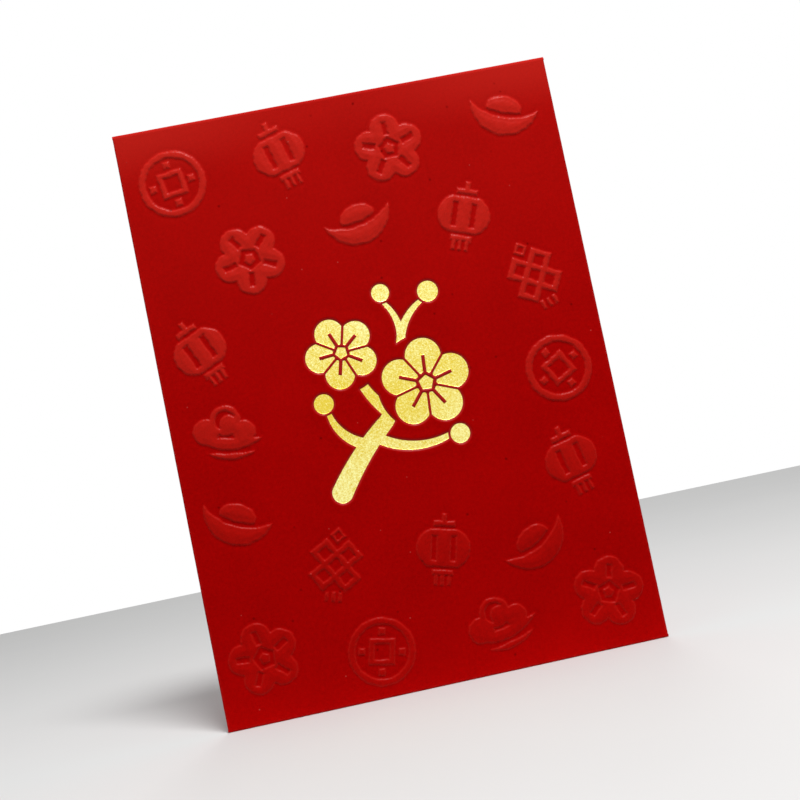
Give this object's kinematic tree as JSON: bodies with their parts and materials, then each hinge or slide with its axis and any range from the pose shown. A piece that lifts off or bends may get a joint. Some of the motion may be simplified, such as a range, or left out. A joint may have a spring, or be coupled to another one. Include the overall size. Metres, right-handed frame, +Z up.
{
  "type": "red envelope",
  "caption": "Flat gift-money envelope of red paper: embossed front with a sunk gold-foil sprig, a glued pocket behind it and a flap that hinges on the top fold to close it.",
  "frame": {"origin": "middle of the lower edge of the closed envelope, halfway through its thickness", "axes": "+Z up the height to the top fold, +X across the front to the viewer's right, +Y from the embossed front to the back"},
  "size_m": [0.085, 0.0018, 0.115],
  "materials": {
    "red_paper": "matte uncoated, dyed through",
    "gold_foil": "hot-stamped gold, fine-grained satin",
    "dried_glue": "dry, clear amber film over the red paper"
  },
  "bodies": {
    "pocket": {"front_panel": "red_paper", "back_panel": "red_paper", "bottom_fold": "red_paper", "top_fold": "red_paper", "left_side_tab": "red_paper", "right_side_tab": "red_paper", "left_side_fold": "red_paper", "right_side_fold": "red_paper", "left_seam_glue": "dried_glue", "right_seam_glue": "dried_glue", "foil_large_blossom": "gold_foil", "foil_small_blossom": "gold_foil", "foil_branch": "gold_foil", "foil_buds": "gold_foil"},
    "flap": {"closure_flap": "red_paper", "closure_gum": "dried_glue"}
  },
  "joints": [
    {"name": "flap_hinge", "type": "hinge", "parent": "pocket", "child": "flap", "pos_m": [0, 0.00017, 0.11424], "axis": [1, 0, 0], "range_deg": [0, 180], "deforming": ["top_fold"]}
  ]
}
